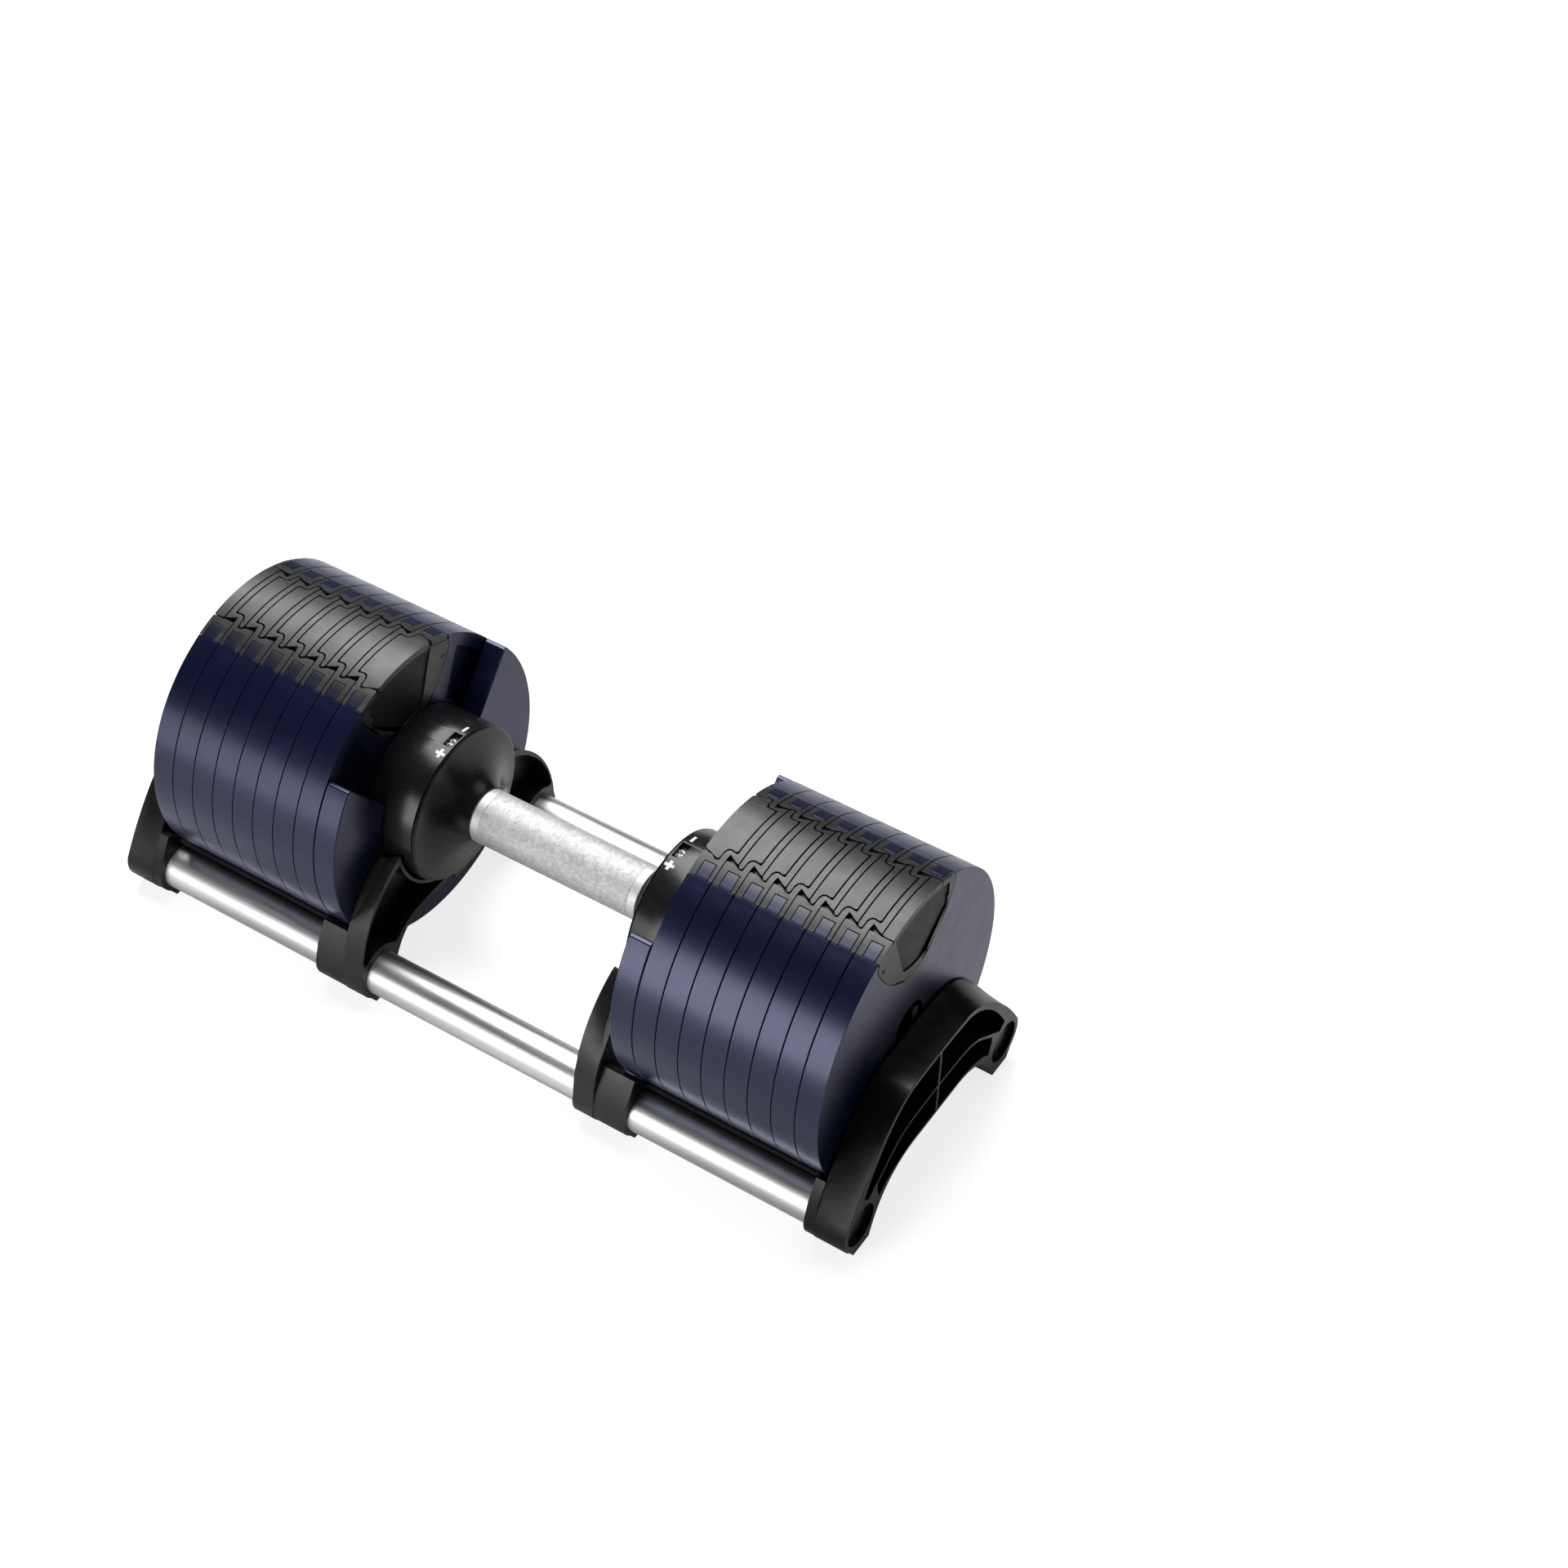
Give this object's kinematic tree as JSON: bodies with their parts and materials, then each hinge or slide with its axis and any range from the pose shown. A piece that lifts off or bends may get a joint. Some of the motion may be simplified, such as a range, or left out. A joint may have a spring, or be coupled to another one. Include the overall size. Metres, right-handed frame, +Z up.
{
  "type": "adjustable dumbbell",
  "caption": "Adjustable dumbbell: round stacked plates on a turning grip that drives hidden lock bars, resting in a two-rail cradle.",
  "frame": {"origin": "on the floor plane, under the middle of the cradle; the dumbbell rests 5.3 mm from it towards +X", "axes": "+X along the handle, towards the end marked right; +Z up; the handle axis is 90 mm above the floor"},
  "size_m": [0.4696, 0.1756, 0.176],
  "materials": {
    "plate_paint": "satin midnight-blue powder paint with a fine grain",
    "insert_plastic": "dark grey satin moulded plastic",
    "gloss_black": "glossy black moulded plastic",
    "bracket_black": "black satin moulded plastic with ribs",
    "bracket_grey": "dark grey satin moulded plastic",
    "tray_black": "black moulded liner",
    "dial_black": "black ring with white numbers",
    "gear_steel": "machined steel",
    "grip_steel": "bright steel with a fine diamond knurl",
    "rail_aluminium": "satin anodised aluminium tube"
  },
  "bodies": {
    "cradle": {"front_rail": "rail_aluminium", "rear_rail": "rail_aluminium", "right_end_bracket": "bracket_black", "left_end_bracket": "bracket_black", "right_saddle_bracket": "bracket_grey", "left_saddle_bracket": "bracket_grey", "right_plate_tray": "tray_black", "left_plate_tray": "tray_black"},
    "dumbbell": {"right_plate_1": "plate_paint", "right_plate_2": "plate_paint", "right_plate_3": "plate_paint", "right_plate_4": "plate_paint", "right_plate_5": "plate_paint", "right_plate_6": "plate_paint", "right_plate_7": "plate_paint", "right_plate_8": "plate_paint", "left_plate_1": "plate_paint", "left_plate_2": "plate_paint", "left_plate_3": "plate_paint", "left_plate_4": "plate_paint", "left_plate_5": "plate_paint", "left_plate_6": "plate_paint", "left_plate_7": "plate_paint", "left_plate_8": "plate_paint", "right_insert_1": "insert_plastic", "right_insert_2": "insert_plastic", "right_insert_3": "insert_plastic", "right_insert_4": "insert_plastic", "right_insert_5": "insert_plastic", "right_insert_6": "insert_plastic", "right_insert_7": "insert_plastic", "right_insert_8": "insert_plastic", "left_insert_1": "insert_plastic", "left_insert_2": "insert_plastic", "left_insert_3": "insert_plastic", "left_insert_4": "insert_plastic", "left_insert_5": "insert_plastic", "left_insert_6": "insert_plastic", "left_insert_7": "insert_plastic", "left_insert_8": "insert_plastic", "right_inner_plate": "plate_paint", "left_inner_plate": "plate_paint", "right_housing": "gloss_black", "left_housing": "gloss_black", "bar_guide_tube": "gear_steel", "right_plunger_spring": "gear_steel", "left_plunger_spring": "gear_steel"},
    "grip": {"grip_sleeve": "grip_steel", "right_cone": "gloss_black", "left_cone": "gloss_black", "right_number_ring": "dial_black", "left_number_ring": "dial_black", "right_face_gear": "gear_steel", "left_face_gear": "gear_steel"},
    "right_pinion_shaft": {"right_pinion": "gear_steel"},
    "left_pinion_shaft": {"left_pinion": "gear_steel"},
    "right_bar": {"right_lock_bar": "gear_steel"},
    "left_bar": {"left_lock_bar": "gear_steel"},
    "right_plunger": {"right_lock_plunger": "gear_steel"},
    "left_plunger": {"left_lock_plunger": "gear_steel"}
  },
  "joints": [
    {"name": "dumbbell_lift", "type": "slide", "parent": "cradle", "child": "dumbbell", "axis": [0, 0, 1], "range_m": [0, 0.2]},
    {"name": "grip_turn", "type": "hinge", "parent": "dumbbell", "child": "grip", "pos_m": [0.0053, 0, 0.09], "axis": [1, 0, 0], "range_deg": [0, 337.5]},
    {"name": "right_pinion_turn", "type": "hinge", "parent": "dumbbell", "child": "right_pinion_shaft", "pos_m": [0.0806, 0, 0.09], "axis": [0, 0, 1], "range_deg": [0, 1350]},
    {"name": "left_pinion_turn", "type": "hinge", "parent": "dumbbell", "child": "left_pinion_shaft", "pos_m": [-0.07, 0, 0.09], "axis": [0, 0, 1], "range_deg": [0, 1350]},
    {"name": "right_bar_slide", "type": "slide", "parent": "dumbbell", "child": "right_bar", "axis": [-1, 0, 0], "range_m": [0, 0.1091]},
    {"name": "left_bar_slide", "type": "slide", "parent": "dumbbell", "child": "left_bar", "axis": [1, 0, 0], "range_m": [0, 0.1091]},
    {"name": "right_plunger_press", "type": "slide", "parent": "dumbbell", "child": "right_plunger", "axis": [0, 0, 1], "range_m": [0, 0.003], "stiffness_N_per_m": 300, "springref_m": -0.004, "deforming": ["right_plunger_spring"]},
    {"name": "left_plunger_press", "type": "slide", "parent": "dumbbell", "child": "left_plunger", "axis": [0, 0, 1], "range_m": [0, 0.003], "stiffness_N_per_m": 300, "springref_m": -0.004, "deforming": ["left_plunger_spring"]}
  ],
  "couplings": [
    {"joint": "right_pinion_turn", "follows": "grip_turn", "ratio": 4},
    {"joint": "left_pinion_turn", "follows": "grip_turn", "ratio": 4},
    {"joint": "right_bar_slide", "follows": "grip_turn", "m_per_rad": 0.0185},
    {"joint": "left_bar_slide", "follows": "grip_turn", "m_per_rad": 0.0185}
  ]
}
